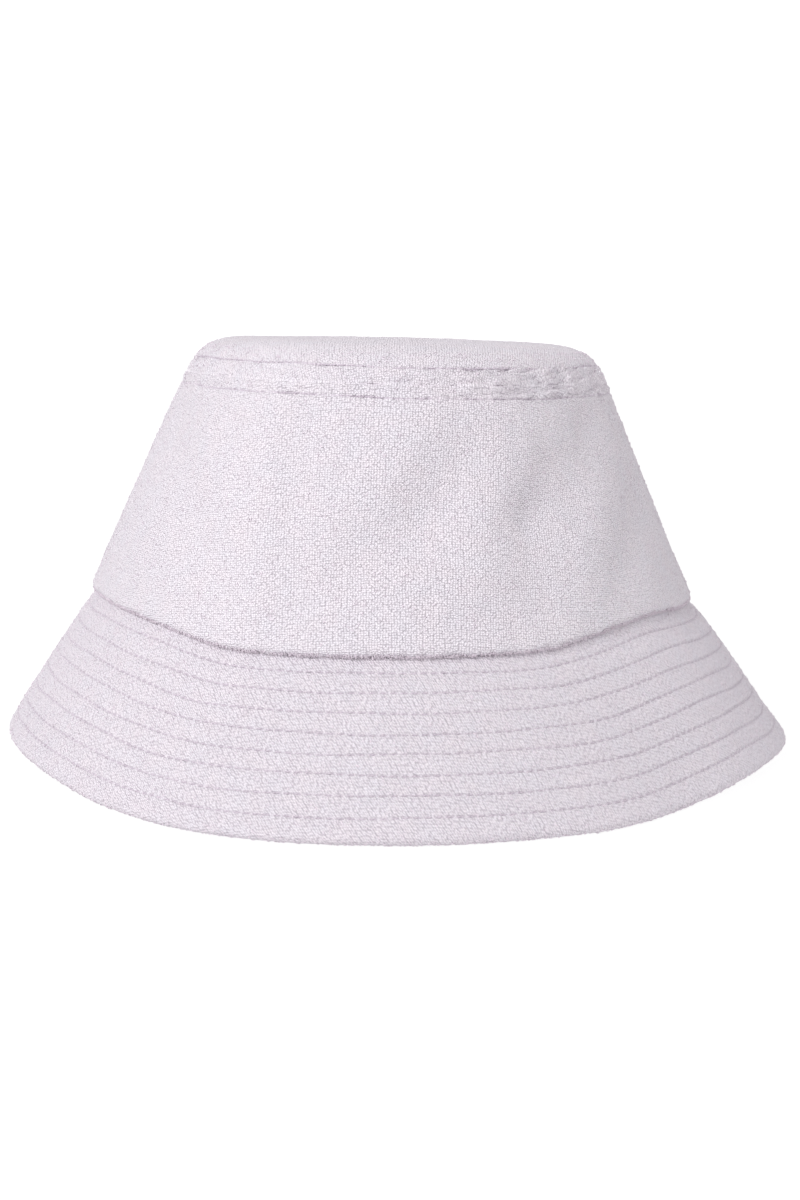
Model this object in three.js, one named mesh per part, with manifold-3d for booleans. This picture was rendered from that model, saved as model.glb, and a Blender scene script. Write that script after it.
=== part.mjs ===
// Bucket hat in towelling: an oval tip, a side band of two panels, a quilted brim of two cloth layers
// over an interlining, a sweatband, the tapes over the inside seams, and the threads of every stitch row:
// the needle's on the outside of the cloth and the bobbin's on its other side.
// Millimetres, +Z up, front towards -Y. The origin is on the resting plane, under the middle of the hat.
import * as THREE from "three";
import { mergeVertices } from "three/addons/utils/BufferGeometryUtils.js";
import Module from "manifold-3d";

const wasm = await Module();
wasm.setup();

// ---- Driving dimensions: the outline, read along the front, where the brim edge rests ----
const edgeHalfWidth = 123.9; // brim at its outer edge
const seamHalfWidth = 94; // outside of the crown where the brim is sewn on
const tipHalfWidth = 67.2; // outside of the crown where the tip is sewn on
const depthOverWidth = 1.12; // the hat is a head's oval: longer from front to back
const seamHeight = 44.6; // brim seam above the resting plane
const bandHeight = 72.8; // brim seam to tip seam, straight up
const tipRise = 11.5; // tip seam to the highest point
const tipSquareness = 11; // power of the tip's curve: higher is a flatter top and a tighter corner
const edgeLift = 7.7; // the brim edge is this much higher at the sides than at front and back
const seamLift = 6; // the same at the brim seam; it fades out at the tip seam
const restingShare = 0.35; // the edge lies flat while it is within this share of the half width

// ---- Driving dimensions: cloth, seams and thread ----
const crownCloth = 2; // tip and side band
const brimCloth = 1.8; // each cloth layer of the brim, turned up inside the crown as its seam allowance
const interlining = 0.6;
const sweatCloth = 1;
const tapeCloth = 0.6;
const labelCloth = 0.5;
const clearance = 0.3; // between any two pieces of cloth
const seamOverhang = 1.4; // the crown's foot stands this far out over the brim
const allowance = 6; // brim layers turned up inside the crown, above the bend
const sweatHeight = 28; // sweatband above the bend
const sweatTail = 3; // and below it, along the brim
const sweatHem = 2.5; // stitch rows from the sweatband's two edges
const tapeReach = 8; // tip seam tape, down the band
const sideTapeWidth = 10;
const labelWidth = 24;
const labelHeight = 16;
const interliningInset = 2; // interlining to the brim's turned edge
const joinGap = 0.4; // where a strip's two ends meet at the centre back
const brimRows = 8; // stitch rows round the brim, evenly spaced between seam and edge
const bandRowDrop = 4.2; // stitch row below the tip seam
const threadWidth = 0.6;
const threadHeight = 0.5;
const threadGap = 0.15; // thread to cloth

const facets = 64; // flats round the hat, the same for every piece, so that nested pieces stay parallel
const tipShares = [1, 0.985, 0.96, 0.92, 0.86, 0.75, 0.5, 0]; // of the half width, where the tip's curve is cut
const tipRowShare = 2; // index in tipShares of the stitch row above the tip seam
const tapeShares = 4; // tipShares that the tip seam tape covers

// ---- Plane geometry: a profile is made of lines in the plane of radius and height ----
const point = (r, z) => new THREE.Vector2(r, z);

// The line through two points, moved towards the inside of the hat by a depth of cloth.
function layer(low, high, depth) {
  const along = high.clone().sub(low).normalize();
  const inwards = point(-along.y, along.x);
  return { at: low.clone().addScaledVector(inwards, depth), along };
}

// Where two lines cross.
function meet(a, b) {
  const cross = a.along.cross(b.along);
  const t = b.at.clone().sub(a.at).cross(b.along) / cross;
  return a.at.clone().addScaledVector(a.along, t);
}

const level = (z) => ({ at: point(0, z), along: point(1, 0) });

const tipSeamHeight = seamHeight + bandHeight;
const edge = point(edgeHalfWidth, 0);
const seam = point(seamHalfWidth, seamHeight);
const brimRoot = point(seamHalfWidth - seamOverhang, seamHeight);
const tipSeam = point(tipHalfWidth, tipSeamHeight);
const brim = (depth) => layer(edge, brimRoot, depth);
const band = (depth) => layer(seam, tipSeam, depth);

// The tip's curve at a share of its half width, under a depth of cloth.
function tipPoint(depth, share) {
  const rise = (tipRise - depth) * (1 - share ** tipSquareness);
  return point((tipHalfWidth - depth) * share, tipSeamHeight + clearance / 2 + rise);
}

// How deep each piece starts, measured in from the outside of the crown and down from the top of the brim.
const underBrimTop = brimCloth + clearance;
const underInterlining = underBrimTop + interlining + clearance;
const brimThickness = underInterlining + brimCloth;
const topUpstand = crownCloth + clearance;
const underUpstand = topUpstand + brimCloth + clearance;
const sweatDepth = underUpstand + brimCloth + clearance;
const labelDepth = sweatDepth + sweatCloth + threadHeight + 2 * clearance;
const tapeDepth = crownCloth + clearance;
const sweatUnder = brimThickness + clearance;
const lip = brimCloth; // the top layer is turned round the edge and closes it from below

// The inside bends from the slope of the brim to that of the band higher up than the outside does.
const upstandBend = meet(band(underUpstand + brimCloth), brim(brimThickness));
const sweatBend = meet(band(sweatDepth + sweatCloth), brim(sweatUnder + sweatCloth));
const upstandHead = level(upstandBend.y + allowance);
const sweatFoot = level(sweatBend.y - sweatTail);
const sweatHead = level(sweatBend.y + sweatHeight);

// ---- Solids ----
// Share of the side lift at an angle: nothing over the resting arcs, all of it at the two sides.
function liftShare(x, y) {
  const side = Math.abs(x) / Math.hypot(x, y);
  return THREE.MathUtils.smoothstep(side, restingShare, 1);
}

// Lift at a height: the edge's at the resting plane, the seam's at the brim seam, none at the tip seam.
function liftAt(z) {
  if (z < seamHeight) return THREE.MathUtils.mapLinear(z, 0, seamHeight, edgeLift, seamLift);
  return seamLift * Math.max(0, (tipSeamHeight - z) / bandHeight);
}

// Turn a profile round the hat's axis, stretch the circle into the oval and raise the two sides.
function turned(profile) {
  const geometry = new THREE.LatheGeometry(profile, facets);
  geometry.rotateX(Math.PI / 2);
  const place = geometry.attributes.position;
  for (let i = 0; i < place.count; i++) {
    const [x, y, z] = [place.getX(i), place.getY(i), place.getZ(i)];
    const raised = Math.hypot(x, y) > 0 ? z + liftAt(z) * liftShare(x, y) : z;
    place.setXYZ(i, x, y * depthOverWidth, raised);
  }
  return geometry;
}

// A ring of cloth: its profile closes on itself.
const ring = (...profile) => turned([...profile, profile[0]]);

// A run of thread on the cloth at a point, where the cloth runs along a direction and faces to its right.
function thread(at, along) {
  const out = point(along.y, -along.x);
  const on = (step, height) => at.clone().addScaledVector(along, step).addScaledVector(out, height);
  const half = threadWidth / 2;
  return ring(on(-half, threadGap), on(0, threadGap + threadHeight), on(half, threadGap));
}

function solid(geometry) {
  const bare = geometry.clone();
  bare.deleteAttribute("normal");
  bare.deleteAttribute("uv");
  const merged = mergeVertices(bare, 1e-4);
  return new wasm.Manifold(
    new wasm.Mesh({
      numProp: 3,
      vertProperties: merged.attributes.position.array,
      triVerts: new Uint32Array(merged.index.array),
    }),
  );
}

function geometryOf(body) {
  const mesh = body.getMesh();
  const geometry = new THREE.BufferGeometry();
  geometry.setAttribute("position", new THREE.BufferAttribute(mesh.vertProperties, 3));
  geometry.setIndex(new THREE.BufferAttribute(mesh.triVerts, 1));
  geometry.computeVertexNormals();
  return geometry;
}

// A box between two corners that reaches past the hat wherever a corner says far.
const far = 2 * depthOverWidth * edgeHalfWidth + tipSeamHeight;
function block(low, high) {
  const size = high.map((v, i) => v - low[i]);
  const middle = high.map((v, i) => (v + low[i]) / 2);
  return solid(new THREE.BoxGeometry(...size).translate(...middle));
}

const keep = (geometry, low, high) => geometryOf(solid(geometry).intersect(block(low, high)));
const front = (geometry) => keep(geometry, [-far, -far, -far], [far, -clearance / 2, far]);
const back = (geometry) => keep(geometry, [-far, clearance / 2, -far], [far, far, far]);

// A strip that runs all the way round and whose ends meet at the centre back.
function joined(geometry) {
  const gap = block([-joinGap / 2, 0, -far], [joinGap / 2, far, far]);
  return geometryOf(solid(geometry).subtract(gap));
}

// ---- Materials ----
const finish = (color, roughness) =>
  new THREE.MeshStandardMaterial({ color, roughness, metalness: 0 });
const towelling = finish(0xdfd6df, 1);
const canvas = finish(0xf1efec, 0.9);
const twill = finish(0xd9cfd9, 0.85);
const satin = finish(0xf4f1f4, 0.5);
const yarn = finish(0xc9b9c8, 0.7);

const hat = new THREE.Group();
function add(name, geometry, material) {
  const mesh = new THREE.Mesh(geometry, material);
  mesh.name = name;
  hat.add(mesh);
}

// ---- Crown: the tip, and the side band in two panels with a seam at each side ----
const tipCurve = (depth) => tipShares.map((share) => tipPoint(depth, share));
add("crown_tip", turned([...tipCurve(crownCloth).reverse(), ...tipCurve(0)]), towelling);

const bandFoot = level(seamHeight);
const bandHead = level(tipSeamHeight - clearance / 2);
const sideBand = ring(
  meet(band(0), bandFoot),
  meet(band(0), bandHead),
  meet(band(crownCloth), bandHead),
  meet(band(crownCloth), brim(-clearance)),
  meet(brim(-clearance), bandFoot),
);
add("crown_front_panel", front(sideBand), towelling);
add("crown_back_panel", back(sideBand), towelling);

// ---- Brim: the top layer closes the edge, the under layer butts against it, interlining between ----
const brimTop = ring(
  meet(brim(0), level(0)),
  meet(brim(0), band(topUpstand)),
  meet(band(topUpstand), upstandHead),
  meet(band(topUpstand + brimCloth), upstandHead),
  meet(band(topUpstand + brimCloth), brim(brimCloth)),
  meet(brim(brimCloth), level(lip)),
  meet(brim(brimThickness), level(lip)),
  meet(brim(brimThickness), level(0)),
);
add("brim_top_front", front(brimTop), towelling);
add("brim_top_back", back(brimTop), towelling);

const stiffenerEdge = level(lip + interliningInset);
const stiffener = ring(
  meet(brim(underBrimTop), stiffenerEdge),
  meet(brim(underBrimTop), band(underUpstand - clearance)),
  meet(brim(underBrimTop + interlining), band(underUpstand - clearance)),
  meet(brim(underBrimTop + interlining), stiffenerEdge),
);
add("brim_interlining", joined(stiffener), canvas);

const underEdge = level(lip + clearance);
const brimUnder = ring(
  meet(brim(underInterlining), underEdge),
  meet(brim(underInterlining), band(underUpstand)),
  meet(band(underUpstand), upstandHead),
  meet(band(underUpstand + brimCloth), upstandHead),
  upstandBend,
  meet(brim(brimThickness), underEdge),
);
add("brim_under_front", front(brimUnder), towelling);
add("brim_under_back", back(brimUnder), towelling);

// ---- Inside: sweatband, tapes over the crown seams, blank label at the back ----
const sweat = ring(
  meet(brim(sweatUnder), sweatFoot),
  meet(brim(sweatUnder), band(sweatDepth)),
  meet(band(sweatDepth), sweatHead),
  meet(band(sweatDepth + sweatCloth), sweatHead),
  sweatBend,
  meet(brim(sweatUnder + sweatCloth), sweatFoot),
);
add("sweatband", joined(sweat), twill);

const tapeFoot = level(tipSeamHeight - tapeReach);
const tapeFace = (depth) => [
  meet(band(depth), tapeFoot),
  meet(band(depth), level(tipSeamHeight)),
  ...tipShares.slice(1, tapeShares).map((share) => tipPoint(depth, share)),
];
const tipTape = ring(...tapeFace(tapeDepth), ...tapeFace(tapeDepth + tapeCloth).reverse());
add("tip_seam_tape", tipTape, twill);

const sideTapeFoot = level(upstandHead.at.y + clearance);
const sideTapeHead = level(tipSeamHeight - tapeReach - clearance);
const sideTape = ring(
  meet(band(tapeDepth), sideTapeFoot),
  meet(band(tapeDepth), sideTapeHead),
  meet(band(tapeDepth + tapeCloth), sideTapeHead),
  meet(band(tapeDepth + tapeCloth), sideTapeFoot),
);
const halfTape = sideTapeWidth / 2;
add("side_seam_tape_left", keep(sideTape, [-far, -halfTape, -far], [0, halfTape, far]), twill);
add("side_seam_tape_right", keep(sideTape, [0, -halfTape, -far], [far, halfTape, far]), twill);

const labelFoot = level(sweatBend.y + 2 * sweatHem);
const labelHead = level(labelFoot.at.y + labelHeight);
const labelRing = ring(
  meet(band(labelDepth), labelFoot),
  meet(band(labelDepth), labelHead),
  meet(band(labelDepth + labelCloth), labelHead),
  meet(band(labelDepth + labelCloth), labelFoot),
);
const halfLabel = labelWidth / 2;
add("size_label", keep(labelRing, [-halfLabel, 0, -far], [halfLabel, far, far]), satin);

// ---- Thread: the two rows beside the tip seam, the rows round the brim, the sweatband's two rows ----
const upBand = band(0).along;
const upBrim = brim(0).along;
const reversed = (direction) => direction.clone().negate();

// A tip row goes through the cloth and the tape: its needle thread is outside, its bobbin thread inside.
const [belowRow, atRow, aboveRow] = [-1, 0, 1].map((step) => tipShares[tipRowShare + step]);
function tipSlope(depth) {
  return tipPoint(depth, aboveRow).sub(tipPoint(depth, belowRow)).normalize();
}
const tapeInside = tapeDepth + tapeCloth;
add("tip_stitch_upper", thread(tipPoint(0, atRow), tipSlope(0)), yarn);
add("tip_bobbin_upper", thread(tipPoint(tapeInside, atRow), reversed(tipSlope(tapeInside))), yarn);

const bandRow = (depth) => meet(band(depth), level(tipSeamHeight)).addScaledVector(upBand, -bandRowDrop);
add("tip_stitch_lower", thread(bandRow(0), upBand), yarn);
add("tip_bobbin_lower", thread(bandRow(tapeInside), reversed(upBand)), yarn);

// The brim's rows go through both cloth layers and the interlining.
const straightThrough = point(-upBrim.y, upBrim.x).multiplyScalar(brimThickness);
for (let row = 1; row <= brimRows; row++) {
  const above = brimRoot.clone().lerp(edge, row / (brimRows + 1));
  const below = above.clone().add(straightThrough);
  add(`brim_stitch_row_${row}`, thread(above, upBrim), yarn);
  add(`brim_bobbin_row_${row}`, thread(below, reversed(upBrim)), yarn);
}

const sweatRow = (from, step) => thread(from.clone().addScaledVector(upBand, step), reversed(upBand));
add("sweatband_stitch_lower", sweatRow(sweatBend, sweatHem), yarn);
const sweatCrest = meet(band(sweatDepth + sweatCloth), sweatHead);
add("sweatband_stitch_upper", sweatRow(sweatCrest, -sweatHem), yarn);

export default hat;
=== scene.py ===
# %% [markdown]
# # A towelling bucket hat
#
# A bucket hat is sewn from a few flat pieces of cloth: an oval tip, a side band cut in a front
# and a back half, and a brim of two layers with a stiffener between them, quilted by rows of
# stitching. Nothing on it is rigid and nothing turns on a hinge.
#
# It could be sculpted by hand, or pinned flat and sewn up by a cloth simulation. Here every
# piece is worked out as a surface instead: a section of cloth, drawn once, is carried round the
# head's oval. The layers then fit each other by construction, and a fold or a lifted side can
# be put into all of them at once, with one function that bends the space they lie in.

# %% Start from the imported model
import math

import bpy
import numpy as np
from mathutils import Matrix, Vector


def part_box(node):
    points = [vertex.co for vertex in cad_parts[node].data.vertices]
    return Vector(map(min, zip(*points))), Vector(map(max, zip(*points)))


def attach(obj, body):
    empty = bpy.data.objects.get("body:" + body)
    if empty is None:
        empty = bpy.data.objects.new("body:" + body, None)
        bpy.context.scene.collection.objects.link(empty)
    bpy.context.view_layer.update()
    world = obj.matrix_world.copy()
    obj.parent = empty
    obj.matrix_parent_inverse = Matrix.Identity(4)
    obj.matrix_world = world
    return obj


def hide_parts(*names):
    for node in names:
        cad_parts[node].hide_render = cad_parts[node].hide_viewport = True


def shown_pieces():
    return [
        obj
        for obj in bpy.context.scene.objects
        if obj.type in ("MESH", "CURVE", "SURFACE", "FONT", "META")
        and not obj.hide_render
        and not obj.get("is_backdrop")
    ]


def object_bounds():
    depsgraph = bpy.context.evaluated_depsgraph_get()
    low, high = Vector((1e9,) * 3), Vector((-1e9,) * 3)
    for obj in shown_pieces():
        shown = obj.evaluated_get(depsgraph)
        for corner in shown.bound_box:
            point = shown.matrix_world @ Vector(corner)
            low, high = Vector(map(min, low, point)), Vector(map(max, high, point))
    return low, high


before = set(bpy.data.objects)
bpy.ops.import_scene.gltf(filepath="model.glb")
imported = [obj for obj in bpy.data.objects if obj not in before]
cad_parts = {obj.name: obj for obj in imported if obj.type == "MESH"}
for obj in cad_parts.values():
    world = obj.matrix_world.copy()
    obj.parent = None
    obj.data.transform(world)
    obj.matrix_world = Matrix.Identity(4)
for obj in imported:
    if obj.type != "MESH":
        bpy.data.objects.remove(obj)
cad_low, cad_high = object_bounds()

MM = 0.001
full_turn = 2 * math.pi
cad_size = (cad_high - cad_low) / MM
print("nodes in the frame:", len(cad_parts))
print("its size in mm:", [round(side, 1) for side in cad_size])

# %% [markdown]
# ## The hat's main sizes
#
# The model that the hat is built round already knows how big everything is, so the sizes are
# read from its boxes. A hat's outline is simple: a slanted brim, a slanted band and a shallow
# dome. Seen from the side those are two straight lines and a rounded one, in a plane that holds
# the radius and the height. All sections are drawn in that plane, at the front of the hat, where
# its edge rests on the table.
#
# The model's edge is cut sharp, while real cloth rolls round it. The roll takes a little off
# the brim's slant, so everything above it settles that much higher, and the brim stays as long.

# %% Sizes from the model
soft_edge = 0.6 * MM
settle = 1.3 * MM
dome_sag = 0.6 * MM
pile_height = 0.3 * MM
_, brim_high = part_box("brim_top_back")
panel_low, panel_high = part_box("crown_front_panel")
tip_low, tip_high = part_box("crown_tip")
edge_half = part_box("brim_top_front")[1].x + soft_edge
seam_half = panel_high.x
tip_half = tip_high.x
oval = brim_high.y / brim_high.x
seam_height = panel_low.z + settle
tip_seam_height = tip_low.z + settle
top_height = tip_high.z + settle - dome_sag

# Thicknesses, the brim's step in behind the band, the band's swell over it, the cloth turned
# into the seam, and the length of a stitch.
cloth = 1.6 * MM
stiffener = 0.5 * MM
gap = 0.1 * MM
seam_step = 0.6 * MM
belly = 2.0 * MM
allowance = 6 * MM
rows_on_brim = 8
stitch = 2.9 * MM
print("half widths in mm: edge", round(edge_half / MM, 1), "seam", round(seam_half / MM, 1),
      "tip", round(tip_half / MM, 1))
print("heights in mm: seam", round(seam_height / MM, 1), "tip seam", round(tip_seam_height / MM, 1),
      "top", round(top_height / MM, 1))

# %% [markdown]
# ## Bending the space the hat lies in
#
# A real hat is never quite its pattern. Its brim lifts at the sides, where the empty hat is also
# pinched flatter, one side hangs a little lower, and the band has soft folds where a head would
# fill it. The folds could be modelled into each layer, but then the layers would cut through
# each other. It is easier to treat them as a bend of space: `place` takes an angle round the
# hat, a radius and a height, and says where that point of cloth ends up. The angle starts at
# the front and grows towards the wearer's left hand, which is the side of +X.

# %% Where a point of cloth ends up
band_height = tip_seam_height - seam_height
levels = [0.0, seam_height * 0.25, seam_height * 0.5, seam_height * 0.82, seam_height,
          seam_height + band_height * 0.42, tip_seam_height]

# At each level: how far both sides are lifted, the left one hangs lower, the ring is moved to
# the left and both sides swell, and the shares of the way out where the lift starts and ends.
side_lift = np.array([4.0, 4.2, 4.4, 4.6, 4.8, 2.8, 0.0]) * MM
side_drop = np.array([1.4, 1.6, 1.8, 2.0, 2.0, 1.2, 0.0]) * MM
side_sway = np.array([1.4, 0.5, 0.5, 0.3, -0.5, -0.6, 1.0]) * MM
side_swell = np.array([0.2, 0.6, 1.1, 1.3, 0.2, 0.4, -0.8]) * MM
lift_starts = np.array([0.62, 0.57, 0.51, 0.44, 0.40, 0.40, 0.40])
lift_ends = np.array([0.99, 0.96, 0.93, 0.89, 0.87, 0.87, 0.87])

pinch = 0.15
pinch_from = 0.4
drop_from = 0.75
tip_lean = 0.026

# Each fold: angle and share of the band's height at both ends, depth and width in mm.
fold_strength = 1.15
folds = [
    (-32, 0.95, -23, 0.15, -0.9, 9),
    (-25, 0.95, -18, 0.15, 0.8, 6),
    (-64, 0.80, -41, 0.38, 1.0, 8),
    (-48, 0.75, -34, 0.50, -0.7, 9),
    (15, 0.70, 7, 0.52, 1.3, 9),
    (7, 0.52, -8, 0.30, 1.1, 10),
    (4, 0.80, -6, 0.55, -0.8, 12),
    (37, 0.66, 29, 0.47, 1.6, 8),
    (29, 0.47, 28, 0.15, 1.2, 9),
    (21, 0.62, 16, 0.30, -0.9, 11),
    (53, 0.82, 40, 0.50, 1.4, 8),
    (45, 0.45, 38, 0.20, -0.8, 10),
    (66, 0.48, 50, 0.20, 1.3, 8),
    (104, 0.75, 92, 0.25, 1.0, 10),
    (138, 0.85, 128, 0.30, 1.3, 10),
    (165, 0.60, 176, 0.20, 1.1, 11),
    (-160, 0.80, -150, 0.35, 1.2, 10),
    (-122, 0.65, -131, 0.20, 1.1, 9),
    (-95, 0.80, -84, 0.40, 0.9, 10),
]


def smooth(low, high, value):
    """A soft step: 0 below low, 1 above high, and 3 t squared less 2 t cubed between them."""
    t = np.clip((value - low) / (high - low), 0, 1)
    return t * t * (3 - 2 * t)


def bell(far, width):
    """A bell curve: exp(-(far / width) squared), 1 at 0 and nearly 0 beyond two widths."""
    return np.exp(-(far / width) ** 2)


def turn_between(angle, other):
    """The angle from one direction to another, brought into half a turn either way."""
    return (angle - other + math.pi) % full_turn - math.pi


def fold_depth(angle, height):
    """How far the folds push the band in: each is a bell round a straight crease, with the
    distance measured on the cloth."""
    share = (height - seam_height) / band_height
    middle = (seam_half + tip_half) / 2
    depth = np.zeros(np.broadcast(angle, height).shape)
    for from_angle, from_share, to_angle, to_share, deep, wide in folds:
        start = math.radians(from_angle)
        run = math.radians(to_angle - from_angle) * middle
        rise = (to_share - from_share) * band_height
        across = turn_between(angle, start) * middle
        up = (share - from_share) * band_height
        along = np.clip((across * run + up * rise) / (run ** 2 + rise ** 2), 0, 1)
        far = np.hypot(across - along * run, up - along * rise)
        depth += deep * fold_strength * MM * bell(far, wide * MM)
    return depth * smooth(0.0, 0.18, share) * (1 - smooth(0.84, 1.0, share))


def ripple(angle, height):
    """Soft waves in the brim, growing towards its edge: a quick cosine of the angle on the
    wearer's left, and two slower ones all round."""
    quick_height = 0.45 * MM
    slow_height = 0.6 * MM
    down = 1 - np.clip(height / seam_height, 0, 1)
    near = bell(turn_between(angle, math.radians(40)), math.radians(30))
    quick = np.cos((angle - math.radians(30)) * 15)
    slow = np.cos(angle * 5 + 0.6) * 0.5 + np.cos(angle * 8 + 2.0) * 0.3
    return (quick_height * near * quick + slow_height * (1 - near) * slow) * down ** 1.3


def place(angle, radius, height):
    """Point of cloth to point in space: round an oval, x is the radius times the sine and y the
    radius times the cosine, longer by the oval's ratio and pinched at the sides. Height gains
    the lift of the sides, the left one hangs lower, and the tip leans. The amounts are read off
    the levels by the height."""
    amounts = (side_lift, side_drop, side_sway, side_swell, lift_starts, lift_ends)
    lift, drop, sway, swell, start, end = [np.interp(height, levels, held) for held in amounts]
    across = np.sin(angle)
    aside = np.abs(across)
    bent = radius - fold_depth(angle, height) + ripple(angle, height) + swell * across ** 2
    x = bent * across + sway
    y = -oval * bent * np.cos(angle) * (1 - pinch * smooth(pinch_from, 1.0, aside))
    z = height + lift * smooth(start, end, aside) - drop * across * smooth(drop_from, 1.0, aside)
    z = z - tip_lean * x * smooth(seam_height, tip_seam_height, height)
    return np.stack(np.broadcast_arrays(x, y, z), axis=-1)


edge_sides = place(np.radians([-90, 90]), edge_half, 0.0)
print("lift at the two sides in mm:", np.round(edge_sides[:, 2] / MM, 1))

# %% [markdown]
# ## Even steps round an oval
#
# Stitches are the same length all round the hat, but equal angles on an oval are not equal
# lengths: it is rounder at the front than at the sides. So lengths are added up round the oval
# once, and every angle is looked up from its share of the way round.

# %% Angles by length
fine = np.radians(np.arange(-180, 180.25, 0.25))
stretch = np.hypot(np.cos(fine), oval * np.sin(fine))
walked = np.concatenate([[0], np.cumsum((stretch[1:] + stretch[:-1]) / 2 * np.diff(fine))])
girth = walked[-1]
share_round = walked / girth - 0.5


def angle_at(share):
    """The angle at a share of the way round, from -0.5 at the back over 0 at the front."""
    return np.interp((share + 0.5) % 1.0 - 0.5, share_round, fine)


def share_at(angle):
    """The share of the way round at an angle, which undoes angle_at."""
    return np.interp(turn_between(angle, 0.0), fine, share_round)


def angles_between(start, end, count):
    """Angles of equal steps on the oval, from one share of the way round to another."""
    shares = np.linspace(start, end, count)
    turns = np.floor(shares + 0.5)
    return angle_at(shares - turns) + turns * full_turn


print("way round the brim in mm:", round(girth * edge_half / MM))

# %% [markdown]
# ## Cloth as a thick section
#
# Each piece starts as a path in the plane of radius and height: the line that its good side
# follows. A sheet with a Solidify modifier would give it thickness, but the two ends would be
# square and the fine relief would be paid for twice. So the section is written out: a fine good
# side, half an ellipse at both ends, and a coarse back. The good side is always on the right of
# the path, which makes the faces point outwards.

# %% Paths and sections
def line(start, end, step):
    """Points from start to end at about this step, the end included."""
    count = max(2, int(round(np.linalg.norm(end - start) / step)) + 1)
    return start + (end - start) * np.linspace(0, 1, count)[:, None]


def circle(turn):
    """Cosine and sine of each turn: points on a circle with radius 1."""
    return np.stack([np.cos(turn), np.sin(turn)], axis=-1)


def arc(centre, radius, start, end, count):
    """Points on a part of a circle: the centre plus the radius times cosine and sine."""
    return centre + radius * circle(np.linspace(start, end, count))


def steps_of(points):
    """The distance from each point to the next."""
    return np.linalg.norm(np.diff(points, axis=0), axis=1)


def joined(*parts):
    """Runs of points as one path, without the doubled points where they meet."""
    points = np.concatenate(parts)
    return points[np.append(True, steps_of(points) > 1e-6)]


class Path:
    """The good side of a cloth: points, the way along each, the direction out of the cloth, and
    a mark, which is the distance from the piece's own seam that rows and patterns count in."""

    def __init__(self, points, zero=0.0):
        self.points = points
        self.mark = np.append(0, np.cumsum(steps_of(points))) - zero
        tangent = np.gradient(points, self.mark, axis=0)
        self.tangent = tangent / np.linalg.norm(tangent, axis=1)[:, None]
        self.normal = np.stack([self.tangent[:, 1], -self.tangent[:, 0]], axis=1)

    def at(self, mark):
        """Point, direction along and direction out, at a mark between the stored ones."""
        order = np.argsort(self.mark)
        return [[np.interp(mark, self.mark[order], held[order, k]) for k in (0, 1)]
                for held in (self.points, self.tangent, self.normal)]

    def beside(self, mark, out=0.0):
        """Points at these marks, moved this far out of the cloth."""
        point, _, normal = self.at(mark)
        return np.stack([point[k] + normal[k] * out for k in (0, 1)], axis=1)


def path_from(points, origin):
    """A path whose marks count from its point that is nearest to the origin."""
    nearest = np.argmin(np.linalg.norm(points - origin, axis=1))
    return Path(points, zero=steps_of(points)[:nearest].sum())


def section_of(path, thick, round_end, back_every=4, round_steps=5, to_axis=False):
    """The outline of a strip of cloth, as points, directions, marks and the weight that relief
    has there. The back is the good side moved in by the thickness, each end half an ellipse
    over which relief fades. A section that ends on the axis has one round end only."""
    fade = 0.4
    turn = np.linspace(0, math.pi, round_steps + 2)[1:-1]

    def end_of(k, forward):
        """Half an ellipse: middle plus normal times cosine plus tangent times sine."""
        middle = path.points[k] - path.normal[k] * thick / 2
        out = np.cos(turn)[:, None] * path.normal[k]
        on = np.sin(turn)[:, None] * path.tangent[k] * forward
        points = middle + out * thick / 2 + on * round_end
        weight = np.clip(np.cos(turn) + fade, 0, 1)
        return points, out + on, np.full(len(turn), path.mark[k]), weight

    face = (path.points, path.normal, path.mark, np.ones(len(path.mark)))
    picked = np.unique(np.append(np.arange(0, len(path.mark), back_every), len(path.mark) - 1))
    inner = path.points[picked] - path.normal[picked] * thick
    back = (inner, -path.normal[picked], path.mark[picked], np.zeros(len(picked)))
    start = [part[::-1] for part in end_of(0, -1.0)]
    flipped = [part[::-1] for part in back]
    if to_axis:
        parts = [flipped, start, face]
    else:
        parts = [start, face, end_of(-1, 1.0), flipped]
    return [np.concatenate([part[k] for part in parts]) for k in range(4)]


# %% [markdown]
# ## From a section to a piece
#
# `sweep` carries a section round the oval and closes it: the section is a loop, so the sides
# close themselves, and the two ends get a lid. The tip has no ends but two poles instead. Each
# piece gets two maps. *Cloth* is in metres on the flat cloth, for the weave to follow, and
# *OFBake* lays the whole surface out once in a square, for finishes that are painted later.

# %% Putting arrays into a mesh
# The lids are so small that they share one spot in the middle of the second map.
lid_size = 0.004


def put_in_scene(name, data):
    """A new object for a mesh, a light or a camera."""
    made = bpy.data.objects.new(name, data)
    bpy.context.scene.collection.objects.link(made)
    return made


def new_piece(name, points, faces, maps, marks, look):
    """A mesh from whole arrays. Faces is a list of arrays with 3, 4 or more corners a row, and
    maps and marks hold a value for every corner or every vertex."""
    mesh = bpy.data.meshes.new(name)
    corners = np.concatenate([part.ravel() for part in faces])
    sizes = np.concatenate([np.full(len(part), part.shape[1]) for part in faces])
    starts = np.concatenate([[0], np.cumsum(sizes)[:-1]])
    mesh.vertices.add(len(points))
    mesh.vertices.foreach_set("co", points.astype(np.float32).ravel())
    mesh.loops.add(len(corners))
    mesh.loops.foreach_set("vertex_index", corners.astype(np.int32))
    mesh.polygons.add(len(sizes))
    mesh.polygons.foreach_set("loop_start", starts.astype(np.int32))
    mesh.polygons.foreach_set("use_smooth", sizes <= 4)
    mesh.update(calc_edges=True)
    for title, values in maps.items():
        layer = mesh.uv_layers.new(name=title)
        layer.uv.foreach_set("vector", values.astype(np.float32).ravel())
    for title, values in marks.items():
        attribute = mesh.attributes.new(title, "FLOAT", "POINT")
        attribute.data.foreach_set("value", values.astype(np.float32).ravel())
    mesh.validate()
    mesh.materials.append(look)
    piece = put_in_scene(name, mesh)
    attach(piece, "root")
    return piece


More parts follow.
